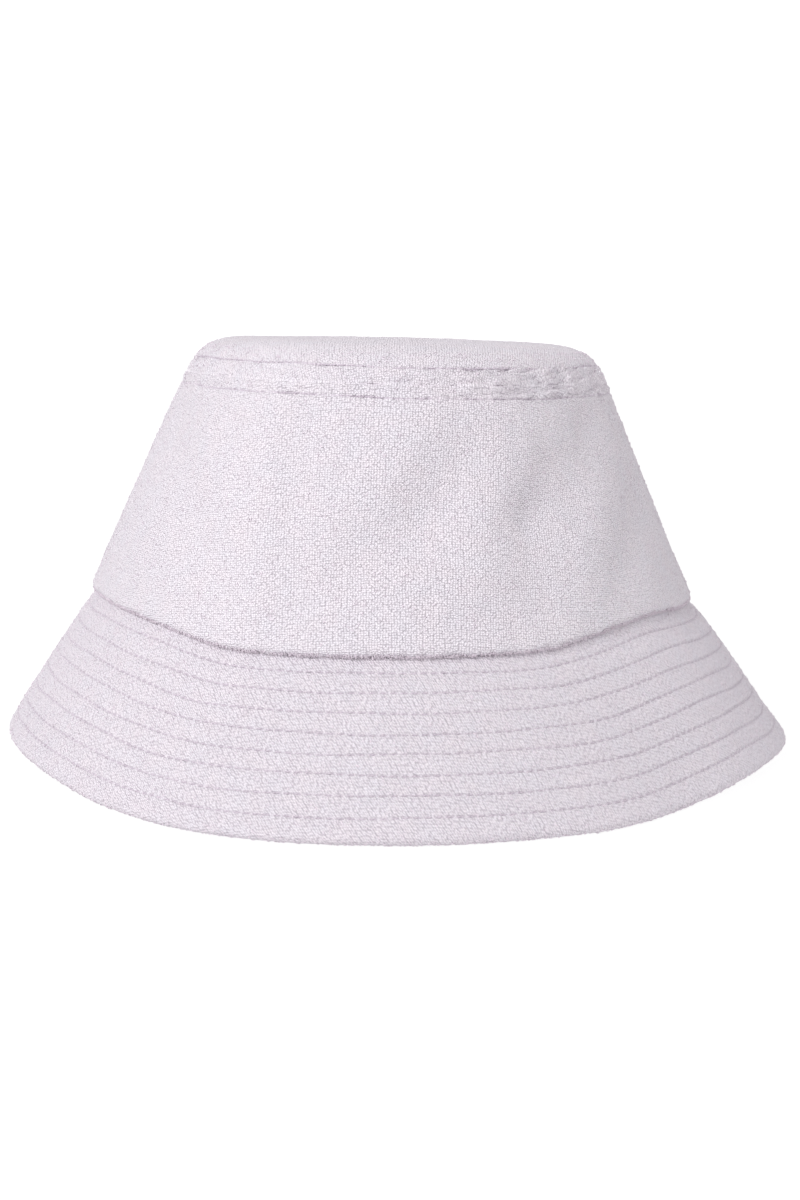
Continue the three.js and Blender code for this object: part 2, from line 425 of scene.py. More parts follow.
def grid_faces(rows, columns, row_count, column_count):
    """Faces over a grid of points, each from row i to the next and from column j to the next,
    where the last may be followed by the first. Also gives each face's i and j."""
    i, j = np.meshgrid(np.arange(row_count), np.arange(column_count), indexing="ij")
    i = i.ravel()
    j = j.ravel()
    i_next = (i + 1) % rows
    j_next = (j + 1) % columns
    quads = np.stack([i * columns + j, i * columns + j_next,
                      i_next * columns + j_next, i_next * columns + j], axis=1)
    return quads, i, j


def fans(rows, columns):
    """Triangles that close a tube's first and last ring with two points that come after the
    grid's own."""
    j = np.arange(columns)
    beside = (j + 1) % columns
    last = (rows - 1) * columns
    pole = np.full(columns, rows * columns)
    start = np.stack([pole, beside, j], axis=1)
    end = np.stack([last + j, last + beside, pole + 1], axis=1)
    return start, end


def laid_out(*places):
    """A map's pairs for every corner of every face, from arrays that hold one value a face."""
    return np.stack(places, axis=1).reshape(-1, 2)


def sweep(name, section, angles, relief, flat, look, nodes, poles=False, strips=1,
          even_width=None):
    """Carries a section round the oval. Relief gives, for every angle and mark, how far the
    good side is moved out and how far the pile is pushed down there, which a towelling also
    paints as shade; flat gives its place on the flat cloth.
    Even width holds the radius at which a narrow strip has its angles, so that it stays as wide
    where the hat is narrower."""
    points, normals, mark, weight = section
    rows = len(mark)
    columns = len(angles)
    angle = angles[None, :] + 0 * mark[:, None]
    if even_width:
        centre = angles.mean()
        angle = centre + (angle - centre) * even_width / points[:, 0, None]
    moved, pressed_and_shaded = relief(angle, mark[:, None])
    moved = moved * weight[:, None]
    radius = points[:, 0, None] + moved * normals[:, 0, None]
    height = points[:, 1, None] + moved * normals[:, 1, None]
    solid = place(angle, radius, height).reshape(-1, 3)
    pattern = flat(angle, mark[:, None] + 0 * angle).reshape(-1, 2)
    pressed_and_shaded = (pressed_and_shaded * weight[:, None] + 0 * radius).ravel()

    row_count = rows - 1 if poles else rows
    column_count = columns if poles else columns - 1
    quads, i, j = grid_faces(rows, columns, row_count, column_count)
    per_strip = math.ceil(column_count / strips)
    strip = j // per_strip
    left = (j % per_strip) / per_strip
    right = left + 1 / per_strip
    low = (strip + i / row_count) / strips
    high = (strip + (i + 1) / row_count) / strips
    baked = laid_out(left, low, right, low, right, high, left, high)

    if poles:
        ends = [solid[:columns].mean(axis=0), solid[-columns:].mean(axis=0)]
        solid = np.concatenate([solid, ends])
        pattern = np.concatenate([pattern, np.zeros((2, 2))])
        pressed_and_shaded = np.append(pressed_and_shaded, [0, 0])
        faces = [quads, *fans(rows, columns)]
        j = np.arange(columns)
        turn = full_turn * np.stack([j, j, j + 1], axis=1).ravel() / columns
    else:
        around = np.arange(rows) * columns
        faces = [quads, around[None, :], (around + columns - 1)[::-1][None, :]]
        turn = full_turn * np.arange(rows) / rows
    lid = 0.5 + lid_size * circle(turn)
    corners = np.concatenate([part.ravel() for part in faces])
    maps = {"Cloth": pattern[corners], "OFBake": np.concatenate([baked, lid, lid])}
    piece = new_piece(name, solid, faces, maps, {"PressedAndShaded": pressed_and_shaded}, look)
    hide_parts(*nodes)
    print(name, "has", sum(len(part) * (part.shape[1] - 2) for part in faces), "triangles")


# %% [markdown]
# ## Uneven cloth
#
# Towelling is soft and lumpy. Its single loops are too small to model one by one over a whole
# hat, so the finish draws those, but the lumps they gather into are real shape. Value noise
# gives them: random heights on a square grid, joined by soft steps. The heights come from a
# seeded table, so the hat is the same each time.

# %% Lumps and rows
big_lump = 4.2 * MM
small_lump = 1.6 * MM
seam_dip = 0.55 * MM
seam_dip_width = 1.0 * MM
stray = 0.17 * MM
crease_width = 0.24 * MM
hollow_width = 1.5 * MM


def lumps(u, v, seed, wrap=256):
    """Value noise: the four heights round a point, mixed by soft steps of the way between. Both
    places count in cells of the grid, and the first repeats after a number of cells."""
    table = np.random.default_rng(seed).uniform(-1, 1, (wrap, 256))
    i = np.floor(u).astype(int)
    j = np.floor(v).astype(int)
    s = smooth(0, 1, u - i)
    t = smooth(0, 1, v - j)
    low = table[i % wrap, j % 256] * (1 - s) + table[(i + 1) % wrap, j % 256] * s
    high = table[i % wrap, (j + 1) % 256] * (1 - s) + table[(i + 1) % wrap, (j + 1) % 256] * s
    return low * (1 - t) + high * t


def lumps_round(angle, mark, radius, cell, seed, shear=0.0, squeeze=1.0):
    """Value noise laid round the hat in a whole number of cells, so that it closes at the back.
    Shear slants it up the cloth and squeeze makes its cells shorter that way."""
    count = int(round(girth * radius / cell))
    round_way = (share_at(angle) + 0.5) * count
    return lumps(round_way + mark * shear / cell, mark * squeeze / cell, seed, count)


def wander(angle, seed):
    """How far a sewn row strays: three slow sines with phases of its own."""
    phase = np.random.default_rng(seed).uniform(0, full_turn, 3)
    waves = np.sin(3 * angle + phase[0]) + np.sin(8 * angle + phase[1])
    return stray * (waves + 0.7 * np.sin(19 * angle + phase[2]))


class Row:
    """A row of stitching: its mark on the cloth, its seed, and its number of stitches."""

    def __init__(self, mark, radius, seed):
        self.mark = mark
        self.seed = seed
        self.count = int(round(girth * radius / stitch))

    def dent(self, angle, mark):
        """How far the row pulls the cloth in, and how far it pushes the pile down, which a towelling
        also paints as shade along the row: a narrow bell across the row, deeper at each needle hole,
        and a wide shallow one beside it."""
        across = mark - self.mark - wander(angle, self.seed)
        hole = 0.5 + 0.5 * np.cos(full_turn * self.count * share_at(angle))
        narrow = bell(across, crease_width)
        wide = bell(across, hollow_width)
        moved = -(0.14 + 0.50 * hole) * MM * narrow - 0.07 * MM * wide
        return moved, (0.1 + 0.9 * hole) * narrow


def relief_of(rows, rough=1.0, seed=1, extra=None, seams=()):
    """Relief of a towelling piece: its lumps in two sizes, the dents of its rows, a dip where it
    runs into a side seam, and whatever the piece adds."""

    def relief(angle, mark):
        moved = 0.12 * lumps_round(angle, mark, seam_half, big_lump, seed)
        moved = moved + 0.09 * lumps_round(angle, mark, seam_half, small_lump, seed + 1)
        moved = moved * rough * MM
        # How far the pile is pushed down, which the towelling also paints as shade.
        pressed_and_shaded = np.zeros(np.broadcast(angle, mark).shape)
        for row in rows:
            dent, hard_and_shaded = row.dent(angle, mark)
            moved = moved + dent
            pressed_and_shaded = np.maximum(pressed_and_shaded, hard_and_shaded)
        for seam in seams:
            away = turn_between(angle, seam) * seam_half
            moved = moved - seam_dip * bell(away, seam_dip_width)
        if extra is not None:
            added, hard_and_shaded = extra(angle, mark)
            moved = moved + added
            pressed_and_shaded = np.maximum(pressed_and_shaded, hard_and_shaded)
        return moved, pressed_and_shaded

    return relief


side_seams = (math.pi / 2, -math.pi / 2)

# %% [markdown]
# ## The finish: sums of sockets
#
# A Blender material is a graph of nodes, and clicking one together for `1 - mask * 0.3` takes
# three of them. A small class that wraps a socket and knows the arithmetic signs lets the same
# thing be written as a sum. Every other node comes from its one method, `node`.

# %% A socket that can be added and multiplied
def arithmetic(operation):
    """The two methods behind a sign: one for a Wire on its left, one for a Wire on its right."""

    def forward(self, other):
        return self.math(operation, self, other)

    def reflected(self, other):
        return self.math(operation, other, self)

    return forward, reflected


class Wire:
    """A socket in a node tree, with arithmetic that adds Math nodes."""

    __add__, __radd__ = arithmetic("ADD")
    __sub__, __rsub__ = arithmetic("SUBTRACT")
    __mul__, __rmul__ = arithmetic("MULTIPLY")
    __truediv__, __rtruediv__ = arithmetic("DIVIDE")

    def __init__(self, tree, socket=None):
        self.tree = tree
        self.socket = socket

    def plug(self, target, value):
        """Links a Wire to a socket, or sets the socket's own value."""
        if isinstance(value, Wire):
            self.tree.links.new(value.socket, target)
        else:
            target.default_value = value

    def node(self, kind, settings=None, inputs=None, out=0):
        """Adds a node: its settings first, then its sockets, by name or number."""
        made = self.tree.nodes.new(kind)
        for name, value in (settings or {}).items():
            setattr(made, name, value)
        for name, value in (inputs or {}).items():
            self.plug(made.inputs[name], value)
        return Wire(self.tree, made.outputs[out])

    def math(self, operation, *values, clamp=False):
        """One Math node on these values."""
        settings = {"operation": operation, "use_clamp": clamp}
        return self.node("ShaderNodeMath", settings, dict(enumerate(values)))

    def mix(self, first, second):
        """A colour between two others, by this value."""
        settings = {"data_type": "RGBA", "clamp_factor": True}
        return self.node("ShaderNodeMix", settings, {0: self, 6: first, 7: second}, out=2)

    def noise(self, scale, detail, roughness=0.5):
        """Soft noise in the piece's own space, with this many lumps a metre."""
        body = self.node("ShaderNodeTexCoord", out=3)
        inputs = {"Vector": body, "Scale": scale, "Detail": detail, "Roughness": roughness}
        return self.node("ShaderNodeTexNoise", inputs=inputs)

    def bump(self, shader, height, depth, strength):
        """Feeds a shader's Normal from a height that is this deep in metres."""
        inputs = {"Strength": strength, "Distance": depth, "Height": height}
        self.plug(shader.inputs["Normal"], self.node("ShaderNodeBump", inputs=inputs))

    def flat_place(self):
        """The two coordinates of the *Cloth* map."""
        weave = self.node("ShaderNodeUVMap", {"uv_map": "Cloth"})
        return [self.node("ShaderNodeSeparateXYZ", inputs={0: weave}, out=k) for k in (0, 1)]


def colour(red, green, blue):
    """A colour given as on a paint chart, 0 to 255, in the linear values that shaders use."""
    shares = [value / 255 for value in (red, green, blue)]
    return (*[((share + 0.055) / 1.055) ** 2.4 for share in shares], 1.0)


def new_look(name, roughness, sheen, sheen_tint):
    """A material with one Principled shader, whose even values are set on its own sockets."""
    look = bpy.data.materials.new(name)
    look.use_nodes = True
    shader = look.node_tree.nodes["Principled BSDF"]
    shader.inputs["Roughness"].default_value = roughness
    shader.inputs["Sheen Weight"].default_value = sheen
    shader.inputs["Sheen Roughness"].default_value = 0.6
    shader.inputs["Sheen Tint"].default_value = sheen_tint
    shader.inputs["Specular IOR Level"].default_value = 0.2
    return look, shader, Wire(look.node_tree)


# %% [markdown]
# ## Towelling
#
# Towelling is woven with a second, slack warp that stands up in loops on both sides, here about
# 0.7 mm apart. From arm's length the loops read as a fine grain: light crowns, darker gaps, and
# faint columns where they line up with the warp. A Voronoi pattern with little randomness is
# that kind of grid, and its distance is 0 on top of each loop and largest in the gaps between
# them. The gaps are painted darker, as painted shade between the loops, and so are the rows of
# stitching and the brim's root, as painted shade in the creases. On the brim the loops are
# brushed to one side, which is a shear of the same pattern, and its whole pile is painted a
# little darker, as painted shade.
# The dye takes unevenly, so slow noise moves the colour between a pinker and a greyer lilac.

# %% Towelling
lilac_pink = colour(243, 235, 242)
lilac_grey = colour(240, 235, 243)
# The dark lilac that the pile is mixed towards: painted shade in its gaps and creases, and its random
# tone.
lilac_shade_and_tone = colour(158, 145, 159)


def towelling(name, across, up, shear, randomness, depth, gap_shade_and_grain, whole_shade=0.0):
    """Towelling with loops this far apart across and up the cloth, leaning by the shear.
    gap_shade_and_grain is how much darker its gaps are painted, as painted shade, and how strong
    its random clumps and fluff are; whole_shade is how much darker the whole pile is painted, as
    painted shade."""
    look, shader, wire = new_look(name, 0.95, 0.25, (1.0, 0.96, 1.0, 1.0))
    side, upright = wire.flat_place()
    pressed_and_shaded = wire.node("ShaderNodeAttribute", {"attribute_name": "PressedAndShaded"}, out=2)
    drift = wire.noise(260.0, 2.0)
    sideways = (side + upright * shear) / across + drift * 0.5
    upwards = upright / up + drift * 0.5
    loops_at = wire.node("ShaderNodeCombineXYZ", inputs={0: sideways, 1: upwards})
    loop = wire.node("ShaderNodeTexVoronoi", {"voronoi_dimensions": "2D"},
                     {"Vector": loops_at, "Scale": 1.0, "Randomness": randomness})
    fine_gap = wire.math("POWER", loop * 1.35, 1.6, clamp=True)
    fluff = wire.noise(1700.0, 3.0, 0.65)
    clump = wire.noise(700.0, 3.0)
    dye = wire.noise(150.0, 4.0)
    cast = wire.math("MULTIPLY_ADD", dye, 2.6, -0.8, clamp=True)
    base = cast.mix(lilac_grey, lilac_pink)

    # The gaps between loops are painted darker, as painted shade; the clumps and fluff are random
    # tone.
    painted_gap_shade = 0.5 * gap_shade_and_grain
    clump_dark = 0.22 * gap_shade_and_grain
    fluff_dark = 0.7 * gap_shade_and_grain
    shade = fine_gap * painted_gap_shade + (clump - 0.5) * clump_dark + (fluff - 0.5) * fluff_dark
    # The whole pile painted darker, as painted shade, by the amount the piece gives.
    shade = shade + whole_shade
    # Painted shade in the creases, where the rows and the brim's root push the pile down.
    crease_shade = pressed_and_shaded * (fluff * 1.6 - 0.25)
    dark = wire.math("ADD", shade * (1 - pressed_and_shaded * 0.5), crease_shade * 0.65, clamp=True)
    wire.plug(shader.inputs["Base Color"], dark.mix(base, lilac_shade_and_tone))
    rise = (1 - fine_gap) * (1 - pressed_and_shaded * 0.8) + fluff * 0.5
    wire.bump(shader, rise, depth, 1.0)
    return look


band_towelling = towelling("band_towelling", across=0.76 * MM, up=0.66 * MM, shear=0.0,
                           randomness=0.5, depth=0.5 * MM, gap_shade_and_grain=0.95)
# The brim's whole pile is painted a step darker, as painted shade.
brim_towelling = towelling("brim_towelling", across=0.70 * MM, up=0.86 * MM, shear=0.5,
                           randomness=0.55, depth=0.42 * MM, gap_shade_and_grain=0.9, whole_shade=0.13)
tip_towelling = towelling("tip_towelling", across=0.76 * MM, up=0.66 * MM, shear=0.0,
                          randomness=0.5, depth=0.5 * MM, gap_shade_and_grain=0.75)
print("nodes in the brim's towelling:", len(brim_towelling.node_tree.nodes))

# %% [markdown]
# ## Twill, canvas, satin and thread
#
# The parts inside are plain woven. Twill is told by its diagonal: each weft thread passes over
# the warp one thread further along, so a wave along u + v draws it. Canvas is a plain grid of
# two waves, satin a very long fine one, and a sewing thread is twisted, which is again a
# diagonal wave, this time round the thread.

# %% Woven and spun finishes
def woven(name, light, dark, roughness, sheen, patterns, depth, mottling):
    """A woven or spun finish. Each pattern is a pair of wave lengths along u and v, 0 for none,
    and gives a sine between 0 and 1 of the flat place. The product of these waves is the height
    of the threads. Lengths and depth are in mm."""
    look, shader, wire = new_look(name, roughness, sheen, (1.0, 0.97, 1.0, 1.0))
    u, v = wire.flat_place()
    height = None
    for lengths in patterns:
        along, around = [full_turn / (length * MM) if length else 0.0 for length in lengths]
        wave = wire.math("SINE", u * along + v * around) * 0.5 + 0.5
        height = wave if height is None else height * wave
    mottle = wire.noise(900.0, 3.0)
    slow = wire.noise(40.0, 2.0)
    # Where the threads lie low the colour is painted darker, as painted shade; the two noises are
    # random tone.
    shade = wire.math("ADD", (1 - height) * 0.55 + (mottle - 0.5) * mottling,
                      (slow - 0.5) * 0.5, clamp=True)
    wire.plug(shader.inputs["Base Color"], shade.mix(colour(*light), colour(*dark)))
    wire.plug(shader.inputs["Roughness"], roughness - height * 0.12)
    wire.bump(shader, height + mottle * 0.4, depth * MM, 0.7)
    return look


# Each finish: light and dark colour, roughness, sheen, patterns, depth and mottling.
twill_look = woven("twill", (236, 226, 236), (196, 182, 198), 0.82, 0.1,
                   [(0.9, 0.9), (0.45, 0)], 0.12, 0.5)
canvas_look = woven("interlining", (240, 238, 236), (206, 202, 202), 0.9, 0.0,
                    [(0.6, 0), (0, 0.6)], 0.1, 0.6)
satin_look = woven("satin", (248, 244, 248), (224, 216, 226), 0.42, 0.0, [(0.25, 2.0)], 0.03, 0.3)
thread_look = woven("thread", (214, 203, 214), (160, 147, 162), 0.6, 0.15,
                    [(0.7, 0.55)], 0.05, 0.6)
print("finishes so far:", [look.name for look in bpy.data.materials])

# %% [markdown]
# ## The brim
#
# The upper cloth comes out of the band's seam, runs down to the edge, rolls round it and ends
# a few millimetres up the other side, where the under cloth takes over. Between the two lies
# the stiffener, and eight rows go through all three. The upper side is the tangent from the
# seam to the round of the edge, so that the widest point of the roll is the brim's half width.

# %% The brim's lines
band_foot = np.array([seam_half + belly, seam_height])
band_top = np.array([tip_half, tip_seam_height])
band_slope = band_top - band_foot
band_up = band_slope / np.linalg.norm(band_slope)
band_out = np.array([band_up[1], -band_up[0]])
brim_root = np.array([seam_half - seam_step, seam_height])
brim_thick = 2 * cloth + stiffener + 2 * gap
roll = brim_thick / 2
roll_middle = np.array([edge_half - roll, roll + pile_height])
to_roll = roll_middle - brim_root
reach = np.linalg.norm(to_roll)
tilt = math.atan2(to_roll[1], to_roll[0]) + math.asin(roll / reach)
brim_down = np.array([math.cos(tilt), math.sin(tilt)])
brim_out = np.array([-brim_down[1], brim_down[0]])
roll_start = roll_middle + brim_out * roll
brim_length = np.linalg.norm(roll_start - brim_root) + roll * 0.6
row_gap = brim_length / (rows_on_brim + 1)
out_angle = math.atan2(brim_out[1], brim_out[0])
print("brim slant in mm:", round(brim_length / MM, 1), "thickness", round(brim_thick / MM, 2),
      "slope in degrees", round(math.degrees(-tilt), 1))


def row_steps(length, gap_length, rows):
    """Distances down a quilted cloth: close together beside each row and wide between."""
    beside = np.array([-2.4, -1.5, -0.95, -0.6, -0.3, 0, 0.3, 0.6, 0.95, 1.5, 2.4]) * MM
    centres = np.arange(1, rows + 1) * gap_length
    marks = (centres[:, None] + beside[None, :]).ravel()
    head = np.linspace(0, marks[0], 5)[:-1]
    tail = np.linspace(marks[-1], length, 4)[1:]
    return np.concatenate([head, marks, tail])


brim_rows = [Row(k * row_gap, brim_root[0] + brim_down[0] * k * row_gap, 40 + k)
             for k in range(1, rows_on_brim + 1)]

# %% [markdown]
# The paths run with the good side on the right, so the upper cloth's path starts under the
# edge and climbs, and the under cloth's starts inside the seam and goes down. Both count their
# marks from the seam, so that one list of rows dents both.

# %% The two layers of the brim
side_joint = 0.00025
half_way = 0.25 - side_joint
seam_turn = 0.7 * MM


def root_crease(angle, mark):
    """The pile is crushed where the brim goes into the band's seam, and painted darker there, as
    painted shade in the fold: a bell down the brim from its root."""
    return 0 * angle * mark, bell(mark - 0.3 * MM, 0.6 * MM) + 0 * angle


def on_ring(away, turn):
    """A flat place: the distance from the middle times sine and cosine of the turn."""
    return np.stack([away * np.sin(turn), -away * np.cos(turn)], axis=-1)


def cone_flat(radius, narrow, way, middle):
    """A cone laid flat is a ring, and the angle is narrowed by the sine of the cone's slope. The
    distance from the cone's point is the seam's radius over the same sine, and the mark goes
    away from the point or, where way is -1, towards it."""

    def flat(angle, mark):
        turn = turn_between(share_at(angle) * full_turn, middle) * narrow * girth / full_turn
        return on_ring(radius / narrow + way * mark, turn)

    return flat


def two_halves(name, section, columns, relief, cone, look, node):
    """A towelling piece cut in a front and a back half, which meet over the ears."""
    for side, middle in (("front", 0.0), ("back", 0.5)):
        angles = angles_between(middle - half_way, middle + half_way, columns)
        flat = cone_flat(*cone, middle * full_turn)
        sweep(name + side, section, angles, relief, flat, look, [node.format(side)],
              strips=2)


climb = row_steps(np.linalg.norm(roll_start - brim_root), row_gap, rows_on_brim)[::-1]
turned_under = 2.4 * MM
under_overlap = 1.2 * MM
hidden_step = 1.2 * MM
brim_rough = 0.7
under_end = roll_middle - brim_out * roll - brim_down * turned_under
top_points = joined(
    line(under_end, roll_middle - brim_out * roll, 0.6 * MM),
    arc(roll_middle, roll, out_angle - math.pi, out_angle, 14),
    brim_root + brim_down * climb[:, None],
    line(brim_root, brim_root + band_up * allowance, hidden_step),
)
top_path = path_from(top_points, brim_root)
top_path.mark = -top_path.mark
brim_cone = (brim_root[0], math.cos(tilt), 1)
two_halves("towelling_brim_top_", section_of(top_path, cloth, seam_turn, back_every=5), 500,
           relief_of(brim_rows, rough=brim_rough, seed=11, seams=side_seams, extra=root_crease),
           brim_cone, brim_towelling, "brim_top_{}")

under_root = brim_root - brim_out * brim_thick
under_foot = roll_middle - brim_out * roll - brim_down * (turned_under + under_overlap)
under_length = np.linalg.norm(under_foot - under_root)
inner_lean = brim_root - band_out * brim_thick
fall = row_steps(under_length, row_gap, rows_on_brim)
fall = fall[fall < under_length]
under_points = joined(
    line(inner_lean + band_up * allowance, inner_lean, hidden_step),
    under_root + brim_down * np.append(fall, under_length)[:, None],
)
under_path = path_from(under_points, under_root)
two_halves("towelling_brim_under_", section_of(under_path, cloth, seam_turn, back_every=6), 420,
           relief_of(brim_rows, seed=15, seams=side_seams), brim_cone, brim_towelling,
           "brim_under_{}")

# %% [markdown]
# The stiffener is a ring of fused canvas, joined at the back. It can't be seen, but it is a
# piece of the hat, so it gets its own thin section between the two cloths.

# %% The stiffener
def still(angle, mark):
    """No relief at all."""
    nothing = np.zeros(np.broadcast(angle, mark).shape)
    return nothing, nothing


def unrolled(radius):
    """The flat place on a straight tape: the way round at this radius and the mark."""

    def flat(angle, mark):
        whole = np.floor(angle / full_turn + 0.5)
        way = (share_at(angle) + whole) * girth * radius
        return np.stack([way, mark + 0 * angle], axis=-1)

    return flat


inside_top = brim_root - brim_out * (cloth + gap)
stiff_points = line(inside_top + brim_down * (brim_length - 4 * MM),
                    inside_top + brim_down * 2 * MM, 3 * MM)
back_joint = 0.0004
almost_round = 0.5 - back_joint
stiff_section = section_of(Path(stiff_points), stiffener, 0.2 * MM, back_every=1, round_steps=1)
sweep("canvas_interlining", stiff_section, angles_between(-almost_round, almost_round, 260),
      still, unrolled(seam_half), canvas_look, ["brim_interlining"], strips=4)

# %% [markdown]
# ## The side band
#
# The band is two halves that meet over the ears. Its foot is turned in at the brim, so it
# bellies out over the seam in a round lip that overhangs the brim a little. Near the top it is
# gathered slightly under the tip: between the seam and the lower row the cloth is too long for
# the stitching and lies in small slanted puckers. Those are stretched lumps, strongest on the
# wearer's left.

# %% Puckers beside the tip seam
band_length = np.linalg.norm(band_slope)
row_drop = 4.2 * MM
foot_round = 0.6 * MM
lip_round = 1.8 * MM
lip_drop = 1.0 * MM
pucker_height = 0.95 * MM
pucker_fade = 1.2 * MM
past_row = 0.6 * MM


def puckers(seam_mark, reach_down, reach_up):
    """Short slanted waves between the two rows: lumps on a grid stretched along the seam and
    sheared, faded out past the rows."""

    def extra(angle, mark):
        up = mark - seam_mark
        inside = smooth(-reach_down, -reach_down + pucker_fade, up)
        inside = inside * (1 - smooth(reach_up - pucker_fade, reach_up, up))
        strong = 0.5 + 0.6 * bell(turn_between(angle, math.radians(38)), 0.5)
        pulls = lumps_round(angle, up, tip_half, 4.6 * MM, 71, shear=1.4, squeeze=4.0)
        crossed = lumps_round(angle, up, tip_half, 3.0 * MM, 72, shear=-1.8, squeeze=3.0)
        return pucker_height * strong * inside * (pulls + 0.7 * crossed), 0 * angle * mark

    return extra


# %% The two halves of the band
row_mark = band_length - row_drop
lower_row = Row(row_mark, tip_half, 61)
lip_height = seam_height - lip_drop + lip_round
lean_in = -band_slope[0] / band_slope[1]
lip_reach = band_foot[0] - (lip_height - seam_height) * lean_in - lip_round / band_out[0]
lip_middle = np.array([lip_reach, lip_height])
lip_end = lip_middle + band_out * lip_round
lip_mark = np.linalg.norm(lip_end - band_foot)
band_marks = np.concatenate([
    np.arange(lip_mark, row_mark - 1.6 * MM, 0.85 * MM),
    row_mark + np.array([-1.5, -0.95, -0.6, -0.3, 0, 0.3, 0.6, 0.95]) * MM,
    np.arange(row_mark + 1.4 * MM, band_length - 0.3 * MM, 0.45 * MM),
    [band_length - 0.4 * MM],
])
band_marks = np.unique(np.round(band_marks, 6))
lip_foot = np.array([lip_reach, seam_height - lip_drop])
lip = joined(
    line(lip_foot + np.array([-0.6, 0.5]) * MM, lip_foot, 0.4 * MM),
    arc(lip_middle, lip_round, -math.pi / 2, math.atan2(band_out[1], band_out[0]), 9),
)
band_points = joined(lip, band_foot + band_up * band_marks[:, None])
band_path = Path(band_points, zero=steps_of(lip).sum() - lip_mark)
band_rough = 1.1


def band_extra(angle, mark):
    """The puckers at the band's head, and at its foot the loops that the fold spreads apart:
    lumps 1.3 mm wide, in a bell round the lowest line of the lip."""
    pulls, hard_and_shaded = puckers(band_length, row_drop + past_row, 2 * MM)(angle, mark)
    lowest = bell(mark - lip_mark + 3.1 * MM, 1.3 * MM)
    spread = lumps_round(angle, mark, seam_half, 1.3 * MM, 91)
    return pulls + 0.42 * MM * lowest * spread, hard_and_shaded


two_halves("towelling_band_", section_of(band_path, cloth, foot_round, back_every=5), 540,
           relief_of([lower_row], rough=band_rough, seed=21, seams=side_seams, extra=band_extra),
           (seam_half, -band_up[0], -1), band_towelling, "crown_{}_panel")

# %% [markdown]
# ## The tip
#
# The tip is an oval that is nearly flat on top and rounds over to the seam. A power of the
# radius draws that: with a high power the height stays level until close to the rim and then
# drops. The surface is a stack of rings that closes in one point at the middle.

# %% The tip
tip_rise = top_height - tip_seam_height
squareness = 14
upper_row_share = 0.96
shares = np.linspace(1, 0.012, 3000)
tip_curve = Path(np.stack([tip_half * shares,
                           tip_seam_height + tip_rise * (1 - shares ** squareness)], axis=1))
tip_marks = np.concatenate([np.arange(0, 12 * MM, 0.42 * MM),
                            np.linspace(12 * MM, tip_curve.mark[-1], 56)])
tip_path = Path(tip_curve.beside(tip_marks))
upper_row_mark = np.interp(-upper_row_share, -shares, tip_curve.mark)
upper_row = Row(upper_row_mark, tip_half * upper_row_share, 62)
tip_whole = tip_path.mark[-1] + tip_path.points[-1, 0]


def tip_flat(angle, mark):
    """The tip laid flat, by the distance from its middle along the cloth."""
    return on_ring(tip_whole - mark, angle)


def tip_relief(angle, mark):
    """The tip's own lumps, worked out on the flat cloth so that its middle has no star, and the
    upper row and the puckers below it."""
    away = tip_whole - mark
    u = away * np.sin(angle)
    v = away * np.cos(angle)
    moved = 0.0
    for deep, size, seed in ((0.12, big_lump, 31), (0.08, small_lump, 32), (0.2, 24 * MM, 33)):
        moved = moved + deep * MM * lumps(u / size, v / size, seed)
    dent, hard_and_shaded = upper_row.dent(angle, mark)
    pulled, _ = puckers(0.0, 2 * MM, upper_row_mark + past_row)(angle, mark)
    return moved + dent + pulled, hard_and_shaded


tip_section = section_of(tip_path, cloth, foot_round, back_every=6, to_axis=True)
sweep("towelling_tip", tip_section, angles_between(-0.5, 0.5, 561)[:-1], tip_relief, tip_flat,
      tip_towelling, ["crown_tip"], poles=True, strips=2)

# %% [markdown]
# ## Inside the hat
#
# Turned over, the hat shows its twill sweatband, the tape that hides the tip's seam, a tape
# down each side seam and a small blank label. They are swept like the rest, with their good
# sides inwards, so their paths run downwards. A narrow strip keeps its width on a band that
# narrows upwards, because its angles are spread by the radius.

# %% The sweatband
sweat_cloth = 1.0 * MM
sweat_depth = seam_step + brim_thick + 0.3 * MM + sweat_cloth
sweat_height = 28 * MM
sweat_tail = 3 * MM
hem = 2.5 * MM
twill_dent = 0.45
sweat_bend = brim_root - band_out * (sweat_depth - seam_step)
sweat_foot = brim_root - brim_out * (sweat_depth - seam_step)
sweat_path = Path(joined(
    line(sweat_bend + band_up * sweat_height, sweat_bend, 0.7 * MM),
    line(sweat_foot, sweat_foot + brim_down * sweat_tail, 0.8 * MM),
))
inside_radius = sweat_bend[0]
sweat_rows = [Row(sweat_height - hem, inside_radius, 65), Row(hem, inside_radius, 66)]


def sweat_relief(angle, mark):
    """Twill lies smoother than towelling: slow waves along it and shallow rows."""
    moved = 0.35 * MM * lumps_round(angle, mark, inside_radius, 22 * MM, 51)
    moved = moved + 0.05 * MM * lumps_round(angle, mark, inside_radius, 3 * MM, 52)
    for row in sweat_rows:
        moved = moved + row.dent(angle, mark)[0] * twill_dent
    return moved, np.maximum(*[row.dent(angle, mark)[1] for row in sweat_rows])


sweat_section = section_of(sweat_path, sweat_cloth, 0.4 * MM, back_every=3, round_steps=3)
sweep("twill_sweatband", sweat_section, angles_between(-almost_round, almost_round, 640),
      sweat_relief, unrolled(inside_radius), twill_look, ["sweatband"], strips=4)

